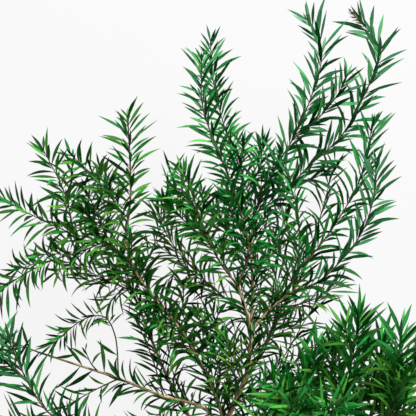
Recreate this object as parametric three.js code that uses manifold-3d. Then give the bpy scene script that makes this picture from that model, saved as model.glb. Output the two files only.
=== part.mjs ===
// A preserved cut stem of black tea tree, laid on its back on a level surface.
// Millimetres, +Z up off the surface, +Y along the stem from the cut end to the tips.
// The origin is on the surface, under the middle of the stem's outline.

import * as THREE from "three";
import Module from "manifold-3d";

const wasm = await Module();
wasm.setup();

// Driving dimensions, in millimetres and degrees

// Where the middle of the finished outline lies in the routes' own x and y
const MIDDLE_X = -7.0;
const MIDDLE_Y = 52.5;

// Leaves: a narrow blade, widest before its middle and a little arched
const LEAF_LENGTH = 27;
const LEAF_WIDTH = 3.2;
const LEAF_DEPTH = 0.9;
const WIDEST_AT = 0.42;
const ARCH = 0.15;
const MIDDLE_ARCH = 0.25;
const SIZE_MIDDLE = 0.9;
const SIZE_SPREAD = 0.3;
const SIZE_LOST_AT_TIP = 0.35;
const SHORT_LEAF_WIDTH = 0.7;

// How the leaves stand round a twig, with their flat faces partly turned up
const FIRST_LEAF = 2;
const LEAF_SPACING = 5.6;
const GOLDEN_ANGLE = 137.5;
const TILT_AT_BASE = 56;
const TILT_AT_TIP = 18;
const TILT_SPREAD = 14;
const TWIST_SPREAD = 50;
const TURNED_UP = 0.6;
const CROWDED_LEAVES = 3;
const CROWDED_SHARE = 0.65;
const RETRY_TURNS = [0, 29, -29, 57, -57];
const SEED_STEP = 7;

// Wood
const TWIG_RADII = [1.0, 0.6];
const TWIG_SIDES = 4;
const TWIG_STEP = 15;
const LIMB_SIDES = 5;
const LIMB_STEP = 30;

// Room between pieces, measured between middle lines or past the wood's surface
const JOINT_GAP = 0.35;
const LEAF_CLEARANCE = 3.0;
const NEIGHBOUR_CLEARANCE = 2.4;
const WOOD_CLEARANCE = 2.0;
const SHORTEST_EDGE = 0.02;

// Below this height what hangs low is eased towards the surface, pressed a little past it
const SOFT_HEIGHT = 8;
const PRESSED = 1.4;

const BARK_COLOUR = 0x7d5f43;
const LEAF_COLOUR = 0x1f6e3a;

const { clamp, degToRad, lerp, smoothstep } = THREE.MathUtils;

// Routes are a few points [x, y, z] along a middle line, with x and y still measured from a point
// beside the trunk. A limb's radii are at its start and at its end.
const LIMBS = {
  trunk: {
    radii: [3.8, 1.6],
    route: [
      [10, -230, 3.0], [10, -170, 13], [9, -100, 24], [12, -50, 33],
      [16, -7, 40], [32, 37, 47], [35, 70, 52],
    ],
  },
  front_limb: { radii: [1.4, 1.15], route: [[35, 68, 52], [29, 89, 56], [24, 104, 60]] },
  right_limb: { radii: [1.4, 1.15], route: [[35, 68, 52], [50, 86, 55], [68, 100, 58]] },
  back_limb: { radii: [1.5, 1.15], route: [[34, 60, 50], [36, 101, 46], [35, 137, 43], [38, 162, 44]] },
  left_limb: { radii: [2.0, 1.8], route: [[15, -10, 40], [6, 15, 41], [-4, 37, 43]] },
  low_left_limb: {
    radii: [1.6, 0.95],
    route: [[14, -19, 38], [-2, 3, 40], [-38, 15, 44], [-72, 29, 47], [-104, 40, 50], [-136, 51, 54]],
  },
  right_front_limb: { radii: [1.7, 1.2], route: [[12, -60, 31], [55, -30, 58], [95, 0, 88]] },
  left_front_limb: { radii: [1.8, 1.4], route: [[11, -80, 27], [-22, -58, 40], [-50, -38, 55]] },
  back_left_limb: { radii: [1.6, 1.1], route: [[11, -45, 34], [-30, 20, 22], [-60, 90, 12]] },
  back_right_limb: { radii: [1.6, 1.1], route: [[17, 0, 41], [50, 60, 22], [78, 110, 12]] },
};

// Each spray is one leafy shoot with the side twigs that grow from it. bare is the leafless
// length at the start of a twig. A spray's first twig grows on from the bare wood, unless seat
// says how far from another spray's middle line it starts.
const SPRAYS = {
  spray_front_left: [
    { bare: 8, route: [[24, 104, 60], [8, 126, 68], [-4, 153, 76], [-12, 176, 84], [-19, 195, 90]] },
    { bare: 4, route: [[-7, 162, 79], [-16, 171, 84], [-26, 181, 88]] },
    { bare: 4, route: [[-2, 148, 75], [-18, 156, 74], [-34, 172, 73]] },
  ],
  spray_tall_centre: [
    {
      bare: 10,
      route: [[24, 104, 60], [32, 133, 66], [25, 167, 71], [9, 209, 76], [-4, 245, 80], [-5, 283, 84]],
    },
    { bare: 4, route: [[31, 144, 68], [20, 160, 70], [12, 178, 74]] },
    { bare: 4, route: [[17, 189, 74], [26, 203, 78], [28, 218, 82]] },
  ],
  spray_right_outer: [
    {
      bare: 8,
      route: [[68, 100, 58], [88, 108, 61], [110, 130, 65], [123, 150, 69], [131, 179, 75], [131, 205, 80]],
    },
  ],
  spray_right_inner: [
    { bare: 6, route: [[68, 100, 58], [72, 129, 63], [71, 163, 67], [63, 191, 69], [57, 209, 70]] },
    {
      bare: 6,
      route: [[70.5, 115, 61], [90, 138, 63], [103, 157, 65], [119, 186, 68], [126, 214, 70], [130, 234, 72]],
    },
  ],
  spray_top_right: [
    {
      bare: 6,
      route: [
        [38, 162, 44], [57, 175, 46], [83, 202, 48], [106, 223, 52],
        [126, 259, 56], [136, 294, 60], [114, 322, 62],
      ],
    },
    { bare: 4, route: [[70, 189, 47], [84, 190, 44], [96, 196, 42]] },
  ],
  spray_top_middle: [
    {
      bare: 5,
      route: [[38, 162, 44], [51, 194, 52], [68, 222, 58], [84, 261, 64], [90, 292, 68], [78, 318, 71]],
    },
    { bare: 3, route: [[67, 221, 58], [86, 236, 60], [104, 258, 62], [110, 272, 64]] },
  ],
  spray_top_left: [
    { bare: 8, route: [[38, 162, 44], [26, 197, 48], [14, 229, 51], [4, 269, 56], [2, 298, 60]] },
    { bare: 4, route: [[31, 182, 46], [42, 200, 44], [44, 220, 42]] },
  ],
  spray_left_upright: [
    {
      radii: [1.8, 0.6],
      bare: 3,
      route: [
        [-4, 37, 43], [-18, 62, 47], [-36, 86, 52], [-52, 106, 57],
        [-64, 133, 63], [-61, 179, 69], [-63, 239, 76],
      ],
    },
    { bare: 4, route: [[-64, 155, 66], [-84, 184, 56], [-110, 209, 48]] },
    { bare: 3, route: [[-26, 73, 49], [-20, 90, 52], [-20, 106, 56]] },
  ],
  spray_left_outer: [
    {
      seat: 7.8,
      bare: 14,
      route: [[-54, 110, 58], [-82, 138, 55], [-109, 146, 52], [-140, 160, 50], [-164, 173, 48]],
    },
    { bare: 4, route: [[-84, 139, 55], [-98, 133, 57], [-126, 124, 60], [-152, 110, 62], [-174, 93, 62]] },
    { bare: 4, route: [[-76, 133.5, 55.5], [-87, 156, 50], [-99, 183, 44]] },
    { bare: 4, route: [[-107, 145, 52], [-115, 179, 55], [-131, 212, 57]] },
  ],
  spray_left_inner: [
    { seat: 3.1, bare: 7, route: [[-46, 98, 55], [-66, 102, 50], [-90, 112, 45], [-106, 120, 40]] },
    { bare: 3, route: [[-68, 102.5, 49.5], [-74, 96, 47], [-80, 89, 45]] },
  ],
  spray_low_left_tip: [{ bare: 0, route: [[-136, 51, 54], [-150, 57, 57], [-160, 62, 60]] }],
  spray_low_left_rise: [
    { bare: 42, route: [[-72, 29, 47], [-75, 65, 50], [-83, 79, 52], [-98, 78, 54], [-124, 58, 58]] },
  ],
  spray_low_left_sprig: [{ bare: 6, route: [[-88, 34, 48], [-94, 42, 52], [-98, 52, 55]] }],
  spray_low_left_under: [{ bare: 6, route: [[-72, 29, 47], [-94, 18, 44], [-120, 3, 40]] }],
  spray_low_left_inner: [{ bare: 6, route: [[-36, 14, 44], [-44, 43, 48], [-57, 76, 52]] }],
  spray_low_left_near: [{ bare: 5, route: [[-14, 8, 41], [-26, 26, 38], [-32, 48, 36]] }],
  spray_low_left_below: [{ bare: 5, route: [[-24, 10, 42], [-46, -4, 44], [-66, -12, 46]] }],
  spray_back_of_front: [
    { bare: 6, route: [[30, 85, 55], [14, 94, 50], [-14, 119, 42], [-32, 142, 36], [-42, 162, 32]] },
  ],
  spray_trunk_left: [{ bare: 8, route: [[28, 24, 46], [18, 51, 40], [4, 75, 36], [-16, 110, 30]] }],
  spray_trunk_low_left: [{ bare: 8, route: [[15, -12, 39], [6, 16, 30], [2, 42, 22], [2, 68, 18]] }],
  spray_trunk_inner: [{ bare: 8, route: [[22, 10, 43], [21, 36, 54], [14, 62, 58]] }],
  spray_back_limb_right: [{ bare: 6, route: [[36, 112, 45], [50, 130, 40], [62, 154, 36]] }],
  spray_back_limb_left: [{ bare: 6, route: [[35, 126, 44], [20, 140, 40], [8, 162, 38]] }],
  spray_right_crotch: [{ bare: 7, route: [[33, 48, 48], [50, 60, 44], [70, 72, 42]] }],
  spray_right_limb_under: [{ bare: 6, route: [[52, 88, 55], [68, 88, 50], [88, 94, 47], [104, 104, 45]] }],
  spray_right_middle: [
    { bare: 8, route: [[22, 8, 43], [44, 22, 38], [64, 49, 36], [78, 73, 34], [90, 92, 32]] },
    { bare: 4, route: [[50, 29, 37], [66, 37, 40], [78, 51, 43], [102, 62, 46]] },
  ],
  spray_bottom_right: [{ bare: 10, route: [[14, -28, 37], [36, -8, 36], [58, 10, 36], [84, 18, 38]] }],
  spray_bottom_left: [{ bare: 10, route: [[12, -48, 33], [-12, -30, 32], [-40, -20, 30], [-66, -18, 28]] }],
  spray_bottom_end: [{ bare: 10, route: [[10, -92, 25], [36, -76, 28], [64, -56, 32], [90, -40, 36]] }],
  spray_front_right_a: [{ bare: 6, route: [[95, 0, 88], [106, 25, 98], [111, 57, 108], [115, 85, 114]] }],
  spray_front_right_b: [
    { bare: 30, route: [[95, 0, 88], [128, -4, 98], [143, 15, 106], [144, 45, 112], [145, 72, 118]] },
    { bare: 4, route: [[133.5, -0.5, 100], [149, 14, 96], [156, 34, 94]] },
  ],
  spray_front_right_c: [
    { bare: 10, route: [[78, -13, 75], [84, 2, 100], [90, 18, 132]] },
    { bare: 4, route: [[82, -3, 90], [68, 6, 106], [62, 20, 124]] },
  ],
  spray_front_right_d: [{ bare: 8, route: [[95, 0, 88], [118, 16, 90], [130, 40, 92], [134, 62, 94]] }],
  spray_front_right_e: [{ bare: 8, route: [[58, -28, 60], [62, -4, 70], [72, 22, 80], [82, 46, 88]] }],
  spray_front_right_f: [{ bare: 8, route: [[38, -42, 48], [46, -16, 62], [50, 10, 76]] }],
  spray_front_left_a: [
    {
      radii: [1.5, 0.7],
      bare: 12,
      route: [
        [-50, -38, 55], [-80, -22, 72], [-108, -2, 88], [-124, 10, 96],
        [-137, 32, 104], [-150, 66, 118],
      ],
    },
    { bare: 4, route: [[-139, 36, 106], [-154, 50, 108], [-164, 72, 110]] },
  ],
  spray_front_left_b: [{ seat: 2.9, bare: 8, route: [[-106, -3, 87], [-130, -8, 88], [-152, 2, 92]] }],
  spray_back_left: [
    { bare: 4, route: [[-60, 90, 12], [-78, 140, 8], [-92, 190, 7]] },
    { bare: 4, route: [[-62, 96, 11], [-40, 150, 8], [-30, 196, 7]] },
  ],
  spray_back_right: [
    { bare: 4, route: [[78, 110, 12], [94, 160, 8], [106, 205, 7]] },
    { bare: 4, route: [[80, 116, 11], [62, 160, 8], [60, 200, 7]] },
  ],
};

// A number from 0 to 1 that is always the same for the same two whole numbers.
function scatter(first, second) {
  const wave = Math.sin(first * 12.9898 + second * 78.233) * 43758.5453;
  return wave - Math.floor(wave);
}

const spread = (first, second, width) => (scatter(first, second) - 0.5) * width;

// Low points are eased towards the surface, so that what hangs low bends to lie along it.
function eased(point) {
  const range = SOFT_HEIGHT + PRESSED;
  if (point.z < SOFT_HEIGHT) {
    point.z = range * Math.exp((point.z - SOFT_HEIGHT) / range) - PRESSED;
  }
  return point;
}

// A ring that dips under the surface is lifted whole, so that it keeps its shape.
function lifted(ring) {
  const lowest = Math.min(...ring.map((point) => point.z));
  if (lowest < 0) ring.forEach((point) => (point.z -= lowest));
  return ring;
}

// A closed solid through rings of points. The first and last ring can be one sharp point.
function loft(rings) {
  const points = rings.flat();
  const sides = rings[1].length;
  const faces = [];
  let here = 0;
  for (let r = 0; r + 1 < rings.length; r++) {
    const next = here + rings[r].length;
    for (let k = 0; k < sides; k++) {
      const after = (k + 1) % sides;
      if (rings[r].length === 1) faces.push(here, next + after, next + k);
      else if (rings[r + 1].length === 1) faces.push(here + k, here + after, next);
      else faces.push(here + k, here + after, next + after, here + k, next + after, next + k);
    }
    here = next;
  }
  for (let k = 1; k < sides - 1; k++) {
    if (rings[0].length > 1) faces.push(0, k + 1, k);
    if (rings.at(-1).length > 1) faces.push(here, here + k, here + k + 1);
  }
  const vertProperties = new Float32Array(points.flatMap((point) => point.toArray()));
  return new wasm.Manifold(
    new wasm.Mesh({ numProp: 3, vertProperties, triVerts: new Uint32Array(faces) }),
  );
}

function curveOf(route) {
  const points = route.map(([x, y, z]) => new THREE.Vector3(x - MIDDLE_X, y - MIDDLE_Y, z));
  return new THREE.CatmullRomCurve3(points, false, "centripetal");
}

// Places along a curve from one part of it to another, with an upright and a sideways direction.
function stations(curve, from, to, count) {
  return Array.from({ length: count + 1 }, (_, k) => {
    const part = lerp(from, to, k / count);
    const along = curve.getTangentAt(part);
    const side = new THREE.Vector3(0, 0, 1).cross(along).normalize();
    const upright = along.clone().cross(side);
    return { part, middle: curve.getPointAt(part), along, side, upright };
  });
}

function stepsAlong({ length }, step, from = 0, to = 1) {
  return Math.max(1, Math.round((length * (to - from)) / step));
}

// A tapering round piece of wood along a curve, or along a part of it.
function woodSolid(wood, sides, step, from = 0, to = 1) {
  const { curve, radii } = wood;
  const count = stepsAlong(wood, step, from, to);
  const rings = stations(curve, from, to, count).map(({ part, middle, side, upright }) => {
    const radius = lerp(radii[0], radii[1], part);
    const ring = Array.from({ length: sides }, (_, k) => {
      const turn = ((k + 0.5) / sides) * 2 * Math.PI - Math.PI / 2;
      return middle
        .clone()
        .addScaledVector(side, radius * Math.cos(turn))
        .addScaledVector(upright, radius * Math.sin(turn));
    });
    return lifted(ring);
  });
  return loft(rings);
}

// The point of a twig's solid at a part of its length, which lies on the straight line between two
// of the solid's rings.
function insideTwig(twig, part) {
  const count = stepsAlong(twig, TWIG_STEP, twig.start);
  const ring = clamp(((part - twig.start) / (1 - twig.start)) * count, 0, count);
  const before = Math.min(Math.floor(ring), count - 1);
  const at = (k) => twig.curve.getPointAt(lerp(twig.start, 1, k / count));
  return at(before).lerp(at(before + 1), ring - before);
}

// One leaf's place: where it leaves the twig, which way it points and how long it is. Leaves
// follow each other by the golden angle, lean further forward and grow shorter near the tip.
function leafPlace(twig, index, extraTurn) {
  const { curve, length, bare, seed } = twig;
  const reach = bare + FIRST_LEAF + index * LEAF_SPACING;
  const part = Math.min(reach / length, 1);
  const root = insideTwig(twig, part);
  const along = curve.getTangentAt(part);
  const side = new THREE.Vector3(0, 0, 1).cross(along).normalize();
  const upright = along.clone().cross(side);
  const turn = degToRad((index + seed) * GOLDEN_ANGLE + extraTurn);
  const away = side.multiplyScalar(Math.cos(turn)).addScaledVector(upright, Math.sin(turn));
  const crowded = smoothstep(reach, length - CROWDED_LEAVES * LEAF_SPACING, length);
  const forward = lerp(part, crowded, CROWDED_SHARE);
  const tilt = degToRad(lerp(TILT_AT_BASE, TILT_AT_TIP, forward) + spread(index, seed + 1, TILT_SPREAD));
  const pointing = along
    .clone()
    .multiplyScalar(Math.cos(tilt))
    .addScaledVector(away, Math.sin(tilt));
  const size = SIZE_MIDDLE + spread(index, seed + 2, SIZE_SPREAD) - SIZE_LOST_AT_TIP * crowded;
  const twist = degToRad(spread(index, seed + 3, TWIST_SPREAD));
  const light = along.clone().lerp(new THREE.Vector3(0, 0, 1), TURNED_UP);
  const across = light.cross(pointing).applyAxisAngle(pointing, twist).normalize();
  const face = across.clone().cross(pointing);
  const tip = root
    .clone()
    .addScaledVector(pointing, LEAF_LENGTH * size)
    .addScaledVector(away, LEAF_LENGTH * size * ARCH);
  return { root, tip: eased(tip), across, face, away, size };
}

// A narrow three-sided blade: sharp at both ends, flat above and keeled below.
function leafSolid({ root, tip, across, face, away, size }) {
  const middle = root.clone().lerp(tip, WIDEST_AT);
  middle.addScaledVector(away, -LEAF_LENGTH * size * ARCH * MIDDLE_ARCH);
  eased(middle);
  const halfWidth = (LEAF_WIDTH / 2) * lerp(SHORT_LEAF_WIDTH, 1, size);
  const above = middle.clone().addScaledVector(face, -LEAF_DEPTH / 3);
  const widest = lifted([
    above.clone().addScaledVector(across, -halfWidth),
    above.clone().addScaledVector(face, LEAF_DEPTH),
    above.clone().addScaledVector(across, halfWidth),
  ]);
  return loft([[root], widest, lifted([tip])]);
}

// Shortest distance between two straight stretches.
function distanceBetween(first, second) {
  const a = first.end.clone().sub(first.start);
  const b = second.end.clone().sub(second.start);
  const gap = first.start.clone().sub(second.start);
  const aa = a.dot(a);
  const bb = b.dot(b);
  const ab = a.dot(b);
  const ag = a.dot(gap);
  const bg = b.dot(gap);
  const spreadOut = aa * bb - ab * ab;
  let s = spreadOut > 1e-6 ? clamp((ab * bg - ag * bb) / spreadOut, 0, 1) : 0;
  const t = clamp((ab * s + bg) / bb, 0, 1);
  s = clamp((ab * t - ag) / aa, 0, 1);
  return gap.addScaledVector(a, s).addScaledVector(b, -t).length();
}

function largestBody(solid) {
  const bodies = solid.decompose();
  return bodies.reduce((best, body) => (body.volume() > best.volume() ? body : best));
}

function meshOf(name, solid, material) {
  const { vertProperties, triVerts } = solid.getMesh();
  const geometry = new THREE.BufferGeometry();
  geometry.setAttribute("position", new THREE.BufferAttribute(vertProperties, 3));
  geometry.setIndex(new THREE.BufferAttribute(triVerts, 1));
  geometry.computeVertexNormals();
  const mesh = new THREE.Mesh(geometry, material);
  mesh.name = name;
  return mesh;
}

// A limb or twig with its curve, its length and the straight stretches that leaves keep clear of.
function woodOf(name, route, radii, extras) {
  const curve = curveOf(route);
  const length = curve.getLength();
  const points = curve.getSpacedPoints(Math.ceil(length / TWIG_STEP));
  const stretches = points.slice(1).map((end, k) => ({
    name,
    start: points[k],
    end,
    radius: lerp(radii[0], radii[1], k / points.length),
  }));
  return { name, curve, length, radii, stretches, ...extras };
}

const limbs = Object.entries(LIMBS).map(([name, { radii, route }]) => woodOf(name, route, radii));
const twigs = Object.entries(SPRAYS).flatMap(([name, routes]) =>
  routes.map(({ bare, route, seat, radii = TWIG_RADII }, k) =>
    woodOf(name, route, radii, { bare, seat, growsOn: k === 0 && seat === undefined }),
  ),
);
twigs.forEach((twig, k) => {
  twig.seed = k * SEED_STEP;
  twig.start = (twig.growsOn ? twig.bare + JOINT_GAP : twig.seat ?? 0) / twig.length;
});
const woodLines = [...limbs, ...twigs].flatMap(({ stretches }) => stretches);
const leafLines = [];

// A leaf stays where it is clear of the wood of other sprays and of every other leaf.
function isClear(twig, leaf) {
  const line = { start: leaf.root, end: leaf.tip };
  const clearOfWood = woodLines.every(
    (wood) =>
      wood.name === twig.name || distanceBetween(line, wood) > wood.radius + WOOD_CLEARANCE,
  );
  return (
    clearOfWood &&
    leafLines.every((other) => {
      const clearance = other.name === twig.name ? NEIGHBOUR_CLEARANCE : LEAF_CLEARANCE;
      return distanceBetween(line, other) > clearance;
    })
  );
}

function leavesOf(twig) {
  const count = Math.floor((twig.length - twig.bare - FIRST_LEAF) / LEAF_SPACING) + 1;
  const leaves = [];
  for (let index = 0; index < count; index++) {
    const tries = RETRY_TURNS.map((extraTurn) => leafPlace(twig, index, extraTurn));
    const leaf = tries.find((place) => isClear(twig, place));
    if (!leaf) continue;
    leafLines.push({ name: twig.name, start: leaf.root, end: leaf.tip });
    leaves.push(leafSolid(leaf));
  }
  return leaves;
}

// Parts joined into one body, less the tiny edges that joining leaves.
function fused(parts) {
  const whole = parts.reduce((sum, part) => sum.add(part));
  return largestBody(whole).simplify(SHORTEST_EDGE);
}

// The bare wood, grown together: the limbs, and the leafless start of each spray's first twig.
function woodySolid() {
  const stubs = twigs.filter(({ bare, growsOn }) => growsOn && bare > 0);
  return fused([
    ...limbs.map((limb) => woodSolid(limb, LIMB_SIDES, LIMB_STEP)),
    ...stubs.map((twig) => woodSolid(twig, TWIG_SIDES, TWIG_STEP, 0, twig.bare / twig.length)),
  ]);
}

// One leafy spray: its twigs and their leaves, fused. It starts just past the bare wood.
function spraySolid(name) {
  const parts = twigs
    .filter((twig) => twig.name === name)
    .flatMap((twig) => [woodSolid(twig, TWIG_SIDES, TWIG_STEP, twig.start), ...leavesOf(twig)]);
  return fused(parts);
}

const barkMaterial = new THREE.MeshStandardMaterial({ color: BARK_COLOUR, roughness: 0.8, metalness: 0 });
const leafMaterial = new THREE.MeshStandardMaterial({ color: LEAF_COLOUR, roughness: 0.45, metalness: 0 });

const stem = new THREE.Group();
stem.add(meshOf("woody_stem", woodySolid(), barkMaterial));
for (const name of Object.keys(SPRAYS)) stem.add(meshOf(name, spraySolid(name), leafMaterial));

export default stem;
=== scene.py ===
"""A preserved cut stem of black tea tree, laid on its back on a pale surface and seen from above."""

from functools import partial
import math

import bpy
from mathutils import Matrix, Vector


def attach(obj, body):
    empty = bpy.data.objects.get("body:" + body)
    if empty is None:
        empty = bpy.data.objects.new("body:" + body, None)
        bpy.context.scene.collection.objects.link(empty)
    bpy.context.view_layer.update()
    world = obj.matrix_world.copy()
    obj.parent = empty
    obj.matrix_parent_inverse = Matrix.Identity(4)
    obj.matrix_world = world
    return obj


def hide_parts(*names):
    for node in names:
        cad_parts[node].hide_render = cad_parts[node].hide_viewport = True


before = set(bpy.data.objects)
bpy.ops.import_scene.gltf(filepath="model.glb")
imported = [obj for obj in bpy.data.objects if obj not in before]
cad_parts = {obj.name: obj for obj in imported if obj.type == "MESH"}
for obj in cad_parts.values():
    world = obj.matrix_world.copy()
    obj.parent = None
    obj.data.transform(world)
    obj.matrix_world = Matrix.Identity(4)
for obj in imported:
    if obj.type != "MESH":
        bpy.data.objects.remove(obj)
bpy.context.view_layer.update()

# The bare wood
# One cut trunk with the limbs that fork from it and the leafless first stretch of every shoot, grown as
# one piece. Brown wood under thin, finely ridged bark, with a low collar where each limb leaves another.
MM = 0.001
MIDDLE = Vector((-7.0, 52.5, 0.0))

# Each limb has its radii at its start and its end, and its route: points along its middle line. All are in
# millimetres.
LIMBS = {
    "trunk": ((3.8, 1.3), [
        (10, -230, 3.7), (10, -170, 13), (9, -100, 24), (12, -50, 33), (16, -7, 40), (32, 37, 47),
        (35, 70, 52),
    ]),
    "front_limb": ((1.3, 1.05), [(35, 68, 52), (29, 89, 56), (24, 104, 60)]),
    "right_limb": ((1.3, 1.05), [(35, 68, 52), (50, 86, 55), (68, 100, 58)]),
    "back_limb": ((1.4, 1.05), [(34, 60, 50), (36, 101, 46), (35, 137, 43), (38, 162, 44)]),
    "left_limb": ((1.6, 1.4), [(15, -10, 40), (6, 15, 41), (-4, 37, 43)]),
    "low_left_limb": ((1.4, 0.75), [
        (14, -19, 38), (-2, 3, 40), (-38, 15, 44), (-72, 29, 47), (-104, 40, 50), (-136, 51, 54),
    ]),
    "right_front_limb": ((1.65, 1.15), [(12, -60, 31), (55, -30, 58), (95, 0, 88)]),
    "left_front_limb": ((1.75, 1.35), [(11, -80, 27), (-22, -58, 40), (-50, -38, 55)]),
    "back_left_limb": ((1.55, 1.05), [(11, -45, 34), (-30, 20, 22), (-60, 90, 12)]),
    "back_right_limb": ((1.55, 1.05), [(17, 0, 41), (50, 60, 22), (78, 110, 12)]),
}
TWIG_RADII = (0.66, 0.34)


def twig(bare, *route, radii=TWIG_RADII, leaf_scale=1.0, seated=False):
    """A twig: the leafless length at its start, its route, and whether it is seated on another spray."""
    return {"bare": bare, "route": route, "radii": radii, "leaf_scale": leaf_scale, "seated": seated}


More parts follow.
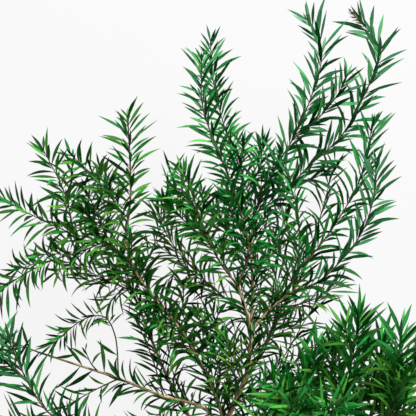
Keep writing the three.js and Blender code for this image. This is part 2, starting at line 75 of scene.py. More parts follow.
# Each spray is one leafy shoot. It has its kind of foliage, the share of each twig, from its start, that
# bears sprigs, and its twigs. The first twig grows on from the bare wood, unless it is seated, and the side
# twigs grow from the first.
SPRAYS = {
    "front_left": ("front", 0.7, [
        twig(8, (24, 104, 60), (8, 126, 68), (-4, 153, 76), (-12, 176, 84), (-19, 195, 90),
             radii=(0.95, 0.4)),
        twig(4, (-7, 162, 79), (-16, 171, 84), (-26, 181, 88)),
        twig(4, (-2, 148, 75), (-18, 156, 74), (-34, 172, 73)),
    ]),
    "tall_centre": ("tall", 0.4, [
        twig(10, (24, 104, 60), (32, 133, 66), (25, 167, 71), (9, 209, 76), (-4, 245, 80), (-5, 283, 84),
             radii=(1.0, 0.4)),
        twig(4, (31, 144, 68), (20, 160, 70), (12, 178, 74)),
        twig(4, (17, 189, 74), (26, 203, 78), (28, 218, 82)),
    ]),
    "right_outer": ("outer", 0, [
        twig(8, (68, 100, 58), (88, 108, 61), (110, 130, 65), (123, 150, 69), (131, 179, 75),
             (131, 205, 80)),
    ]),
    "right_inner": ("right_inner", 0, [
        twig(6, (68, 100, 58), (72, 129, 63), (71, 163, 67), (63, 191, 69), (57, 209, 70), leaf_scale=0.8),
        twig(6, (70.5, 115, 61), (90, 138, 63), (103, 157, 65), (119, 186, 68), (126, 214, 70),
             (130, 234, 72)),
        twig(3, (68.5, 104, 59), (63, 118, 57), (56, 134, 55), (52, 150, 54), leaf_scale=0.7),
    ]),
    "top_right": ("outer", 0, [
        twig(6, (38, 162, 44), (57, 175, 46), (83, 202, 48), (106, 223, 52), (126, 259, 56), (136, 294, 60),
             (114, 322, 62)),
        twig(4, (70, 189, 47), (84, 190, 44), (96, 196, 42)),
    ]),
    "top_middle": ("outer", 0, [
        twig(5, (38, 162, 44), (51, 194, 52), (68, 222, 58), (84, 261, 64), (90, 292, 68), (78, 318, 71)),
        twig(3, (67, 221, 58), (86, 236, 60), (104, 258, 62), (110, 272, 64)),
    ]),
    "top_left": ("tall", 0, [
        twig(8, (38, 162, 44), (26, 197, 48), (14, 229, 51), (4, 269, 56), (2, 298, 60)),
        twig(4, (31, 182, 46), (42, 200, 44), (44, 220, 42)),
    ]),
    "left_upright": ("upright", 0.5, [
        twig(3, (-4, 37, 43), (-18, 62, 47), (-36, 86, 52), (-52, 106, 57), (-64, 133, 63), (-61, 179, 69),
             (-63, 239, 76), radii=(1.4, 0.5)),
        twig(4, (-64, 155, 66), (-84, 184, 56), (-110, 209, 48)),
        twig(3, (-26, 73, 49), (-20, 90, 52), (-20, 106, 56)),
        twig(2, (-9, 46, 44.4), (-4, 62, 52), (-8, 84, 58), leaf_scale=0.8),
        twig(2, (6, 15, 41), (10, 30, 49), (4, 52, 56), leaf_scale=0.8),
        twig(2, (-18, 62, 47), (-28, 70, 54), (-42, 78, 58), leaf_scale=0.8),
    ]),
    "left_outer": ("upright", 0.5, [
        twig(14, (-54, 110, 58), (-82, 138, 55), (-109, 146, 52), (-140, 160, 50), (-164, 173, 48),
             seated=True),
        twig(4, (-84, 139, 55), (-98, 133, 57), (-126, 124, 60), (-152, 110, 62), (-174, 93, 62)),
        twig(4, (-76, 133.5, 55.5), (-87, 156, 50), (-99, 183, 44)),
        twig(4, (-107, 145, 52), (-115, 179, 55), (-131, 212, 57)),
    ]),
    "left_inner": ("inner", 0.7, [
        twig(7, (-46, 98, 55), (-66, 102, 50), (-90, 112, 45), (-106, 120, 40), seated=True),
        twig(3, (-68, 102.5, 49.5), (-74, 96, 47), (-80, 89, 45)),
    ]),
    "low_left_tip": ("sparse", 0, [twig(0, (-136, 51, 54), (-150, 57, 57), (-160, 62, 60))]),
    "low_left_rise": ("drooping", 0, [
        twig(42, (-72, 29, 47), (-75, 65, 50), (-83, 79, 52), (-98, 78, 54), (-124, 58, 58),
             radii=(0.65, 0.4)),
    ]),
    "low_left_sprig": ("sparse", 0, [twig(6, (-88, 34, 48), (-94, 42, 52), (-98, 52, 55))]),
    "low_left_under": ("sparse", 0, [twig(6, (-72, 29, 47), (-94, 18, 44), (-120, 3, 40))]),
    "low_left_inner": ("sparse", 0, [twig(6, (-36, 14, 44), (-44, 43, 48), (-57, 76, 52))]),
    "low_left_near": ("sparse", 0, [twig(5, (-14, 8, 41), (-26, 26, 38), (-32, 48, 36))]),
    "low_left_below": ("sparse", 0, [twig(5, (-24, 10, 42), (-46, -4, 44), (-66, -12, 46))]),
    "back_of_front": ("inner", 0.6, [
        twig(6, (30, 85, 55), (14, 94, 50), (-14, 119, 42), (-32, 142, 36), (-42, 162, 32)),
    ]),
    "trunk_left": ("sparse", 0.25, [twig(8, (28, 24, 46), (18, 51, 40), (4, 75, 36), (-16, 110, 30))]),
    "trunk_low_left": ("low", 0.2, [twig(8, (15, -12, 39), (6, 16, 30), (2, 42, 22), (2, 68, 18))]),
    "trunk_inner": ("inner", 0.5, [twig(8, (22, 10, 43), (21, 36, 54), (14, 62, 58))]),
    "back_limb_right": ("inner", 0.6, [twig(6, (36, 112, 45), (50, 130, 40), (62, 154, 36))]),
    "back_limb_left": ("inner", 0.8, [twig(6, (35, 126, 44), (20, 140, 40), (8, 162, 38))]),
    "right_crotch": ("inner", 0.35, [
        twig(7, (33, 48, 48), (50, 60, 44), (70, 72, 42)),
        twig(3, (46, 57, 45), (54, 78, 46), (56, 104, 47), (50, 122, 47)),
    ]),
    "right_limb_under": ("inner", 0.2, [twig(6, (52, 88, 55), (68, 88, 50), (88, 94, 47), (104, 104, 45))]),
    "right_middle": ("low", 0.4, [
        twig(8, (22, 8, 43), (44, 22, 38), (64, 49, 36), (78, 73, 34), (90, 92, 32)),
        twig(4, (50, 29, 37), (66, 37, 40), (78, 51, 43), (102, 62, 46)),
    ]),
    "bottom_right": ("low", 0.5, [twig(10, (14, -28, 37), (36, -8, 36), (58, 10, 36), (84, 18, 38))]),
    "bottom_left": ("low", 0.4, [twig(10, (12, -48, 33), (-12, -30, 32), (-40, -20, 30), (-66, -18, 28))]),
    "bottom_end": ("inner", 0.7, [twig(10, (10, -92, 25), (36, -76, 28), (64, -56, 32), (90, -40, 36))]),
    "front_right_a": ("near", 0.7, [
        twig(6, (95, 0, 88), (106, 25, 98), (111, 57, 108), (115, 85, 114)),
        twig(4, (103, 17, 95), (98, 36, 88), (96, 58, 84)),
    ]),
    "front_right_b": ("near", 0.6, [
        twig(30, (95, 0, 88), (128, -4, 98), (143, 15, 106), (144, 45, 112), (145, 72, 118)),
        twig(4, (133.5, -0.5, 100), (149, 14, 96), (156, 34, 94)),
        twig(2, (117, -3, 95), (130, 10, 92), (138, 32, 90)),
    ]),
    "front_right_c": ("fan", 0.7, [
        twig(10, (78, -13, 75), (84, 2, 100), (90, 18, 132)),
        twig(4, (82, -3, 90), (68, 6, 106), (62, 20, 124)),
    ]),
    "front_right_d": ("near", 0.6, [twig(8, (95, 0, 88), (118, 16, 90), (130, 40, 92), (134, 62, 94))]),
    "front_right_e": ("near", 0.8, [twig(8, (58, -28, 60), (62, -4, 70), (72, 22, 80), (82, 46, 88))]),
    "front_right_f": ("fan", 0.8, [twig(8, (38, -42, 48), (46, -16, 62), (50, 10, 76))]),
    "front_left_a": ("corner", 0.5, [
        twig(12, (-50, -38, 55), (-80, -22, 72), (-108, -2, 88), (-124, 10, 96), (-137, 32, 104),
             (-150, 66, 118), radii=(0.9, 0.5)),
        twig(4, (-139, 36, 106), (-154, 50, 108), (-164, 72, 110)),
    ]),
    "front_left_b": ("corner", 0, [twig(8, (-106, -3, 87), (-130, -8, 88), (-152, 2, 92), seated=True)]),
    "back_left": ("behind", 0, [
        twig(4, (-60, 90, 12), (-78, 140, 8), (-92, 190, 7)),
        twig(4, (-62, 96, 11), (-40, 150, 8), (-30, 196, 7)),
    ]),
    "back_right": ("behind", 0, [
        twig(4, (78, 110, 12), (94, 160, 8), (106, 205, 7)),
        twig(4, (80, 116, 11), (62, 160, 8), (60, 200, 7)),
    ]),
}
POINTS_BETWEEN = 8

# What each line of wood tells the rules: how much its collar swells, its own seed, the leafless length at
# its start, where its leaves end, the share of it that bears sprigs, and the scale of its leaves.
LINE_FACTS = {"swell": 0.0, "seed": 0, "bare": 0.0, "leafy_to": 10.0, "sprigs_to": 0.0, "leaf_scale": 1.0}

COLLAR_SWELL = 0.3
RIDGE_SCALE = 1100.0
STRETCH_ALONG = 0.22

GREEN_BARK = (50, 76, 34)
YOUNG_BARK = (78, 58, 40)
GROWN_BARK = (206, 184, 130)
# The old bark of the thick trunk is darker than its own colour: partly painted shade.
OLD_AND_SHADED_BARK = (92, 68, 38)
DARK_CRACK = (44, 34, 18)
# The radii at which bark is as young and as old as its colours go.
BARK_AGES = (0.4 * MM, 3.4 * MM)
PATCH_SCALE = 260.0
# The least and most that noise mostly comes to.
GRAIN_SPAN = (0.3, 0.7)


def smooth_line(route):
    """Close points, in metres, on a smooth line through a route's own points."""
    given = [(Vector(place) - MIDDLE) * MM for place in route]
    given = [2 * given[0] - given[1], *given, 2 * given[-1] - given[-2]]
    line = [given[1]]

    def between(first, second, low, high, at):
        return first.lerp(second, (at - low) / (high - low))

    for before, start, end, after in zip(given, given[1:], given[2:], given[3:]):
        a = 0.0
        b = a + (start - before).length ** 0.5
        c = b + (end - start).length ** 0.5
        d = c + (after - end).length ** 0.5
        for k in range(1, POINTS_BETWEEN + 1):
            at = b + (c - b) * k / POINTS_BETWEEN
            first = between(before, start, a, b, at)
            second = between(start, end, b, c, at)
            third = between(end, after, c, d, at)
            left = between(first, second, a, c, at)
            right = between(second, third, b, d, at)
            line.append(between(left, right, b, c, at))
    return line


def grown(route, radii):
    """A wood's middle line as (place, distance from its start, radius) at close points."""
    line = smooth_line(route)
    distances = [0.0]
    for start, end in zip(line, line[1:]):
        distances.append(distances[-1] + (end - start).length)
    whole = distances[-1]
    thick = [(radii[0] + (radii[1] - radii[0]) * reach / whole) * MM for reach in distances]
    return list(zip(line, distances, thick))


def stretch(wood, start, end=math.inf):
    """The part of a wood's middle line between two distances from its start."""
    end = min(end, wood[-1][1])

    def at(distance):
        for (place, reach, radius), (onward, further, thinner) in zip(wood, wood[1:]):
            if distance <= further:
                share = (distance - reach) / (further - reach)
                return place.lerp(onward, share), distance, radius + (thinner - radius) * share
        return wood[-1]

    return [at(start), *[step for step in wood if start < step[1] < end], at(end)]


def lines_mesh(name, woods):
    """One mesh of bare lines. Each wood has its own line, and those facts that differ from LINE_FACTS."""
    places, edges = [], []
    facts = {key: [] for key in ("thickness", *LINE_FACTS)}
    for wood in woods:
        line = wood["line"]
        first = len(places)
        places += [place for place, _, _ in line]
        facts["thickness"] += [radius for _, _, radius in line]
        for key, usual in LINE_FACTS.items():
            facts[key] += [float(wood.get(key, usual))] * len(line)
        edges += [(k, k + 1) for k in range(first, len(places) - 1)]
    mesh = bpy.data.meshes.new(name)
    mesh.from_pydata(places, edges, [])
    for key, values in facts.items():
        mesh.attributes.new(key, "FLOAT", "POINT").data.foreach_set("value", values)
    return mesh


def add(tree, kind, wires=(), **settings):
    """One node. An input is linked where its value is a socket, and otherwise set."""
    node = tree.nodes.new(kind)
    for key, value in settings.items():
        setattr(node, key, value)
    for key, value in dict(wires).items():
        if isinstance(value, bpy.types.NodeSocket):
            tree.links.new(value, node.inputs[key])
        else:
            node.inputs[key].default_value = value
    return node


def link(kind, wires, out=0, **settings):
    """An output of one node, set beside the sockets that it is linked to."""
    wires = dict(wires)
    tree = next(value.id_data for value in wires.values() if isinstance(value, bpy.types.NodeSocket))
    return add(tree, kind, wires, **settings).outputs[out]


def sums(operation, *values, **settings):
    return link("ShaderNodeMath", enumerate(values), operation=operation, **settings)


plus = partial(sums, "ADD")
minus = partial(sums, "SUBTRACT")
times = partial(sums, "MULTIPLY")
times_plus = partial(sums, "MULTIPLY_ADD")
divided = partial(sums, "DIVIDE")
sine = partial(sums, "SINE")
cosine = partial(sums, "COSINE")
more = partial(sums, "GREATER_THAN")
less = partial(sums, "LESS_THAN")


def vectors(operation, *values):
    return link("ShaderNodeVectorMath", enumerate(values), operation=operation)


joined = partial(vectors, "ADD")
crossed = partial(vectors, "CROSS_PRODUCT")
unit = partial(vectors, "NORMALIZE")


def scaled(vector, amount):
    return link("ShaderNodeVectorMath", {0: vector, "Scale": amount}, operation="SCALE")


def placed(x, y, z):
    return link("ShaderNodeCombineXYZ", {0: x, 1: y, 2: z})


def split(vector):
    return add(vector.id_data, "ShaderNodeSeparateXYZ", {0: vector}).outputs


def ranged(value, low, high, start, end, kind="SMOOTHSTEP"):
    wires = {0: value, 1: low, 2: high, 3: start, 4: end}
    return link("ShaderNodeMapRange", wires, interpolation_type=kind)


def noise(place, scale, detail=3.0):
    return link("ShaderNodeTexNoise", {"Vector": place, "Scale": scale, "Detail": detail})


def kept(geometry, name, value, kind="FLOAT"):
    wires = {"Geometry": geometry, "Name": name, "Value": value}
    return link("GeometryNodeStoreNamedAttribute", wires, data_type=kind)


def read(tree, name, kind="FLOAT"):
    return add(tree, "GeometryNodeInputNamedAttribute", {"Name": name}, data_type=kind).outputs[0]


def evenly(lines, spacing):
    line = link("GeometryNodeMeshToCurve", {"Mesh": lines})
    wires = {"Curve": line, "Length": spacing}
    return link("GeometryNodeResampleCurve", wires, mode="LENGTH")


def moved(geometry, **wires):
    wires = {key.capitalize(): value for key, value in wires.items()}
    return link("GeometryNodeSetPosition", {"Geometry": geometry, **wires})


def new_rule(name, sizes):
    """A geometry rule with its lines and named sizes as inputs, and those inputs' sockets."""
    tree = bpy.data.node_groups.new(name, "GeometryNodeTree")
    kinds = {
        float: "NodeSocketFloat", int: "NodeSocketInt",
        bpy.types.Material: "NodeSocketMaterial", bpy.types.Object: "NodeSocketObject",
    }
    tree.interface.new_socket("Lines", in_out="INPUT", socket_type="NodeSocketGeometry")
    for size, value in sizes.items():
        socket = tree.interface.new_socket(size, in_out="INPUT", socket_type=kinds[type(value)])
        socket.default_value = value
    tree.interface.new_socket("Piece", in_out="OUTPUT", socket_type="NodeSocketGeometry")
    return tree, add(tree, "NodeGroupInput").outputs


def finish_rule(geometry, material):
    whole = link("GeometryNodeRealizeInstances", {"Geometry": geometry})
    dressed = link("GeometryNodeSetMaterial", {"Geometry": whole, "Material": material})
    add(geometry.id_data, "NodeGroupOutput", {0: dressed})


def new_object(name, data):
    thing = bpy.data.objects.new(name, data)
    bpy.context.scene.collection.objects.link(thing)
    return thing


def run_rule(name, lines, rule, sizes):
    """The plain mesh that a rule makes of a mesh of lines."""
    carrier = new_object(name + "_lines", lines)
    modifier = carrier.modifiers.new("Grow", "NODES")
    modifier.node_group = rule
    for item in rule.interface.items_tree:
        key = item.name.lower().replace(" ", "_")
        if item.in_out == "INPUT" and key in sizes:
            modifier[item.identifier] = sizes[key]
    view = bpy.context.evaluated_depsgraph_get()
    mesh = bpy.data.meshes.new_from_object(
        carrier.evaluated_get(view), preserve_all_data_layers=True, depsgraph=view
    )
    bpy.data.objects.remove(carrier)
    mesh.name = name
    return mesh


def grow(name, lines, rule, slot, stands_for=(), **sizes):
    """A piece of the stem, grown along its lines and set into the frame."""
    piece = new_object(name, run_rule(name, lines, rule, sizes))
    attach(piece, "root")
    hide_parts(*stands_for)
    return piece


def paint(red, green, blue):
    """A colour as it looks on a screen, 0 to 255, in the even values that nodes use."""

    def even(value):
        value /= 255
        return value / 12.92 if value <= 0.04045 else ((value + 0.055) / 1.055) ** 2.4

    return (even(red), even(green), even(blue), 1.0)


def colour_steps(value, steps):
    """A colour ramp over a value, from (position, colour) steps."""
    ramp = add(value.id_data, "ShaderNodeValToRGB", {0: value})
    marks = ramp.color_ramp.elements
    while len(marks) < len(steps):
        marks.new(0.5)
    for mark, (position, colour) in zip(marks, steps):
        mark.position = position
        mark.color = paint(*colour)
    return ramp.outputs[0]


def mixed(share, first, second):
    return link("ShaderNodeMix", {0: share, 6: first, 7: second}, 2, data_type="RGBA")


def seen(tree, name, output="Fac"):
    return add(tree, "ShaderNodeAttribute", attribute_name=name).outputs[output]


def new_material(name):
    material = bpy.data.materials.new(name)
    material.use_nodes = True
    tree = material.node_tree
    tree.nodes.clear()
    shader = add(tree, "ShaderNodeBsdfPrincipled")
    add(tree, "ShaderNodeOutputMaterial", {0: shader.outputs[0]})
    return material, tree, shader


def finish(tree, shader, colour, grain, height, roughness, distance, strength):
    """Joins a material's colour and relief to its shader, and its roughness, which follows the grain."""
    tree.links.new(colour, shader.inputs["Base Color"])
    tree.links.new(ranged(grain, *GRAIN_SPAN, *roughness), shader.inputs["Roughness"])
    wires = {"Height": height, "Strength": strength, "Distance": distance}
    tree.links.new(link("ShaderNodeBump", wires), shader.inputs["Normal"])


def bark():
    """Brown bark: green at the tips of twigs, darker on the trunk, partly its own colour and partly painted
    shade, with fine cracks along the wood.
    """
    material, tree, shader = new_material("tea tree bark")
    place = seen(tree, "bark_place", "Vector")
    thick = seen(tree, "thickness")
    age = ranged(thick, *BARK_AGES, 0.0, 1.0, "LINEAR")
    patches = noise(place, PATCH_SCALE)
    aged = plus(age, times_plus(patches, 0.6, -0.3), use_clamp=True)
    steps = [(0.0, GREEN_BARK), (0.1, YOUNG_BARK), (0.3, GROWN_BARK), (0.52, OLD_AND_SHADED_BARK)]
    skin = colour_steps(aged, steps)
    cracks = noise(place, RIDGE_SCALE, 5.0)
    depth = ranged(cracks, 0.38, 0.58, 0.85, 0.0)
    colour = mixed(depth, skin, paint(*DARK_CRACK))
    shader.inputs["Specular IOR Level"].default_value = 0.25
    finish(tree, shader, colour, cracks, cracks, (0.92, 0.66), distance=0.25 * MM, strength=0.6)
    return material


def wood_rule(material):
    """Round, tapering wood along its lines, with a collar at each fork and ridged bark."""
    sizes = {
        "Sides": 14,
        "Ring Spacing": 1.6 * MM,
        "Collar Length": 6.0 * MM,
        "Ridge Height": 0.11,
        "Ridge Scale": RIDGE_SCALE,
        "Bark": material,
    }
    tree, given = new_rule("Wood along its lines", sizes)
    line = evenly(given["Lines"], given["Ring Spacing"])
    reach = add(tree, "GeometryNodeSplineParameter").outputs["Length"]
    line = kept(line, "reach", reach)
    thick = read(tree, "thickness")
    collar = plus(read(tree, "swell"), 1.0)
    width = times(thick, ranged(reach, 0.0, given["Collar Length"], collar, 1.0))
    circle = link("GeometryNodeCurvePrimitiveCircle", {"Resolution": given["Sides"], "Radius": 1.0})
    factor = add(tree, "GeometryNodeSplineParameter").outputs["Factor"]
    profile = kept(circle, "around", times(factor, 2 * math.pi))
    wires = {"Curve": line, "Profile Curve": profile, "Scale": width, "Fill Caps": True}
    body = link("GeometryNodeCurveToMesh", wires)

    around = read(tree, "around")
    along = times(read(tree, "reach"), STRETCH_ALONG)
    place = placed(
        times(thick, cosine(around)), times(thick, sine(around)), plus(along, times(read(tree, "seed"), 0.1))
    )
    body = kept(body, "bark_place", place, "FLOAT_VECTOR")
    relief = minus(noise(place, given["Ridge Scale"]), 0.5)
    height = times(times(relief, thick), given["Ridge Height"])
    normal = add(tree, "GeometryNodeInputNormal").outputs[0]
    body = moved(body, offset=scaled(normal, times(height, 2.0)))

    spot = split(add(tree, "GeometryNodeInputPosition").outputs[0])
    body = moved(body, position=placed(spot[0], spot[1], sums("MAXIMUM", spot[2], 0.0)))
    angle = add(tree, "GeometryNodeInputMeshEdgeAngle").outputs[0]
    wires = {"Geometry": body, "Selection": more(angle, 1.0), "Shade Smooth": False}
    body = link("GeometryNodeSetShadeSmooth", wires, domain="EDGE")
    finish_rule(body, given["Bark"])
    return tree


def first_twig(spray):
    _, _, (first, *_) = SPRAYS[spray]
    return grown(first["route"], first["radii"])


bark_material = bark()
wood = wood_rule(bark_material)
limb_lines = {name: grown(route, radii) for name, (radii, route) in LIMBS.items()}
stubs = {
    spray: stretch(first_twig(spray), 0.0, twigs[0]["bare"] * MM)
    for spray, (_, _, twigs) in SPRAYS.items()
    if twigs[0]["bare"] and not twigs[0]["seated"]
}
stem_lines = [
    {"line": line, "swell": 0.0 if name == "trunk" else COLLAR_SWELL, "seed": k}
    for k, (name, line) in enumerate({**limb_lines, **stubs}.items())
]
grow("bare_wood", lines_mesh("bare_wood", stem_lines), wood, "bark", ["woody_stem"])

# The cut end
# The clean cut across the foot of the trunk: pale wood with fine growth rings round a small dark pith,
# inside a thin edge of bark. It is a shallow cap over the trunk's end.
CUT_RINGS = (0.0, 0.3, 0.6, 0.85, 1.0)
CUT_RISE = (0.16, 0.15, 0.12, 0.06, -0.1)
CUT_SIDES = 40
CUT_SHARE = 0.93
RING_WIDTH = 0.55 * MM
CUT_GRAIN = 900.0
CUT_PALE = (206, 178, 136)
CUT_DARK = (168, 132, 92)
PITH = (108, 76, 50)


def cut_wood(centre):
    material, tree, shader = new_material("cut tea tree wood")
    place = add(tree, "ShaderNodeTexCoord").outputs["Object"]
    wires = {"Vector": place, "Location": tuple(-x for x in centre)}
    from_pith = link("ShaderNodeMapping", wires)
    grain = noise(from_pith, CUT_GRAIN)
    radius = link("ShaderNodeVectorMath", {0: from_pith}, "Value", operation="LENGTH")
    wavy = times_plus(grain, 0.3 * MM, radius)
    turn = times(wavy, 2 * math.pi / RING_WIDTH)
    rings = times_plus(sine(turn), 0.5, 0.5)
    colour = mixed(rings, paint(*CUT_PALE), paint(*CUT_DARK))
    pith = ranged(wavy, 0.2 * MM, 0.5 * MM, 1.0, 0.0)
    colour = mixed(pith, colour, paint(*PITH))
    finish(tree, shader, colour, grain, rings, (0.7, 0.85), distance=0.05 * MM, strength=0.4)
    return material


def cut_end():
    line = limb_lines["trunk"]
    foot, radius = line[0][0], line[0][2] * CUT_SHARE
    outward = (line[0][0] - line[1][0]).normalized()
    side = outward.cross(Vector((0, 0, 1))).normalized()
    upright = side.cross(outward).normalized()
    places, faces = [], []
    for share, rise in zip(CUT_RINGS, CUT_RISE):
        middle = foot + outward * rise * MM
        for k in range(CUT_SIDES if share else 1):
            turn = 2 * math.pi * k / CUT_SIDES
            place = middle + (side * math.cos(turn) + upright * math.sin(turn)) * radius * share
            place.z = max(place.z, 0.0)
            places.append(place)
    for k in range(CUT_SIDES):
        beside = (k + 1) % CUT_SIDES
        faces.append((0, 1 + k, 1 + beside))
        for ring in range(len(CUT_RINGS) - 2):
            start = 1 + ring * CUT_SIDES
            faces.append((start + k, start + CUT_SIDES + k, start + CUT_SIDES + beside, start + beside))
    last = 1 + (len(CUT_RINGS) - 2) * CUT_SIDES
    faces.append([last + k for k in reversed(range(CUT_SIDES))])
    mesh = bpy.data.meshes.new("cut_end")
    mesh.from_pydata(places, [], faces)
    mesh.materials.append(cut_wood(foot))
    piece = new_object("cut_end", mesh)
    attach(piece, "root")


cut_end()

# The twigs of each spray
# Thin young wood that carries the leaves. It grows on out of the bare wood, or out of the spray that it is
# seated on. Side twigs grow out of it, and in the thick of the stem short sprigs do too.
TWIG_SIDES = 8
TWIG_RINGS = 2.0 * MM
INTO_WOOD = 1.5 * MM
SIDE_SWELL = 0.25

SPRIG_RADII = (0.48 * MM, 0.28 * MM)
SPRIG_ARC = ((0.0, 0.0, 0.0), (0.0, 0.55, 0.0), (0.0, 1.0, 0.25))
SPRIG_FACTS = {"swell": SIDE_SWELL, "bare": 2.0 * MM, "sprigs_to": 0.0, "leaf_scale": 0.82}
FIRST_SPRIG = 4.0 * MM
# The least and most by which sprigs differ: in radians round the twig, and in shares of tilt and length.
SPRIG_TURNS = (-0.4, 0.4)
SPRIG_TILTS = (0.75, 1.25)
SPRIG_LENGTHS = (0.65, 1.2)
GOLDEN_ANGLE = math.radians(137.5)

# The leafless length, in millimetres, at the tips that end in a bud.
BARE_TIPS = {"top_right": 13.0, "top_middle": 2.0}


def sides_of(tree):
    """Directions at a point of a line: forward along it, level to its side, and upright between them."""
    forward = add(tree, "GeometryNodeInputTangent").outputs[0]
    side = unit(crossed((0.0, 0.0, 1.0), forward))
    return forward, side, crossed(forward, side)


def turned_away(side, upright, turn):
    """The direction straight out from a line, turned round it by an angle."""
    across = scaled(side, cosine(turn))
    return joined(across, scaled(upright, sine(turn)))


def leaning(forward, away, tilt):
    """The direction that leans out from a line by an angle."""
    onward = scaled(forward, cosine(tilt))
    return joined(onward, scaled(away, sine(tilt)))


def facing(pointing, up):
    wires = {0: pointing, 1: up}
    return link("FunctionNodeAxesToRotation", wires, primary_axis="Y", secondary_axis="Z")


def chance_in(tree, seed):
    """Gives by_chance(low, high, number), random but always the same for one seed and line."""
    own = add(tree, "GeometryNodeInputIndex").outputs[0]
    seed = plus(seed, read(tree, "seed"))

    def by_chance(low, high, number):
        wires = {2: low, 3: high, 7: own, 8: plus(seed, 100.0 * number)}
        return link("FunctionNodeRandomValue", wires, 1)

    return by_chance


def sprig_rule():
    """Adds short sprigs, as more lines, along the part of each line that bears them."""
    sizes = {
        "Sprig Spacing": 14.0 * MM,
        "Sprig Length": 27.0 * MM,
        "Sprig Tilt": math.radians(42),
        "Without Lines": 0,
        "Seed": 3,
    }
    tree, given = new_rule("Sprigs along the twigs", sizes)
    line = evenly(given["Lines"], given["Sprig Spacing"])
    by_chance = chance_in(tree, given["Seed"])
    station = add(tree, "GeometryNodeSplineParameter").outputs
    forward, side, upright = sides_of(tree)
    turn = times(plus(station["Index"], read(tree, "seed")), GOLDEN_ANGLE)
    away = turned_away(side, upright, plus(turn, by_chance(*SPRIG_TURNS, 1)))
    tilt = times(given["Sprig Tilt"], by_chance(*SPRIG_TILTS, 2))
    start = plus(read(tree, "bare"), FIRST_SPRIG)
    past_start = more(station["Length"], start)
    bears = less(station["Factor"], read(tree, "sprigs_to"))
    reach = times(given["Sprig Length"], by_chance(*SPRIG_LENGTHS, 3))
    arc = dict(zip(("Start", "Middle", "End"), SPRIG_ARC), Resolution=8)
    wires = {
        "Points": line,
        "Selection": times(past_start, bears),
        "Instance": add(tree, "GeometryNodeCurveQuadraticBezier", arc).outputs[0],
        "Rotation": facing(leaning(forward, away, tilt), forward),
        "Scale": placed(reach, reach, reach),
    }
    sprigs = link("GeometryNodeInstanceOnPoints", wires)
    sprigs = link("GeometryNodeRealizeInstances", {"Geometry": sprigs})
    factor = add(tree, "GeometryNodeSplineParameter").outputs["Factor"]
    sprigs = kept(sprigs, "thickness", ranged(factor, 0.0, 1.0, *SPRIG_RADII, "LINEAR"))
    for name, value in SPRIG_FACTS.items():
        sprigs = kept(sprigs, name, value)
    sprigs = link("GeometryNodeCurveToMesh", {"Curve": sprigs})
    wires = {"Geometry": given["Lines"], "Selection": given["Without Lines"]}
    own_lines = link("GeometryNodeDeleteGeometry", wires)
    both = add(tree, "GeometryNodeJoinGeometry")
    for part in (own_lines, sprigs):
        tree.links.new(part, both.inputs[0])
    add(tree, "NodeGroupOutput", {0: both.outputs[0]})
    return tree


sprig_arcs = sprig_rule()
spray_lines = {}
for number, (spray, (_, sprigs_to, twigs)) in enumerate(SPRAYS.items()):
    twig_lines = []
    for k, one in enumerate(twigs):
        grows_on = k == 0 and not one["seated"]
        start = max(0.0, one["bare"] * MM - INTO_WOOD) if grows_on else 0.0
        tip = BARE_TIPS.get(spray, 0.0) * MM if k == 0 else 0.0
        route_line = grown(one["route"], one["radii"])
        twig_lines.append(
            {
                "line": stretch(route_line, start),
                "leafy_to": route_line[-1][1] - start - tip,
                "swell": 0.0 if grows_on else SIDE_SWELL,
                "seed": 7 * number + 3 * k,
                "bare": one["bare"] * MM - start,
                "sprigs_to": sprigs_to,
                "leaf_scale": one["leaf_scale"],
            }
        )
    spray_lines[spray] = run_rule(spray, lines_mesh(spray + "_plain", twig_lines), sprig_arcs, {})
    grow(
        "twigs_" + spray, spray_lines[spray], wood, "bark", ["spray_" + spray],
        sides=TWIG_SIDES, ring_spacing=TWIG_RINGS,
    )

# The leaves of each spray
# Narrow, sharp, leathery evergreen blades with a grooved midrib, set round the twig in a spiral. They
# clasp the twig, then arch outwards, and turn their upper faces to the light.
LEAF_STATIONS = [
    (0.0, 0.13), (0.08, 0.24), (0.22, 0.62), (0.38, 0.93), (0.52, 1.0), (0.68, 0.8), (0.86, 0.38), (1.0, 0.0),
]
EDGE_RISE = 0.14

TURNED_TO_LIGHT = 0.65
# The least and most of what differs by chance from leaf to leaf.
TURNS = (-0.25, 0.25)
SIZES = (0.65, 1.12)
WIDTHS = (0.8, 1.05)
BENDS = (0.05, 1.0)
TINTS = (-0.05, 0.95)
OLIVES = (0.2, 1.4)
# How much of the change in tilt along a twig comes at its crowded tip.
CROWDED_SHARE = 0.65
# From this share of a twig on, its leaves arch less and have more bloom, which is partly painted sheen.
OUTER_FROM = 0.3
# Leaves that hang below this height are eased up, so that they stay above the floor.
SOFT_HEIGHT = 8.0 * MM


def foliage(length, width, spacing, bend, tilt, lost, tint, olive, light=TURNED_TO_LIGHT):
    """What the leaf rule is given. tilt is in degrees, at a twig's base and its tip. olive leans the green to
    olive, or below zero to a blue-grey bloom that is partly painted sheen."""
    return {
        "leaf_length": length * MM, "leaf_width": width * MM, "leaf_spacing": spacing * MM, "bend": bend,
        "tilt_at_base": math.radians(tilt[0]), "tilt_at_tip": math.radians(tilt[1]), "lost_at_tip": lost,
        "tint": tint, "olive": olive, "turned_to_light": light,
    }


fine = partial(foliage, 29.0, 2.35, bend=1.6, tilt=(38, 20), lost=0.3, light=0.55)
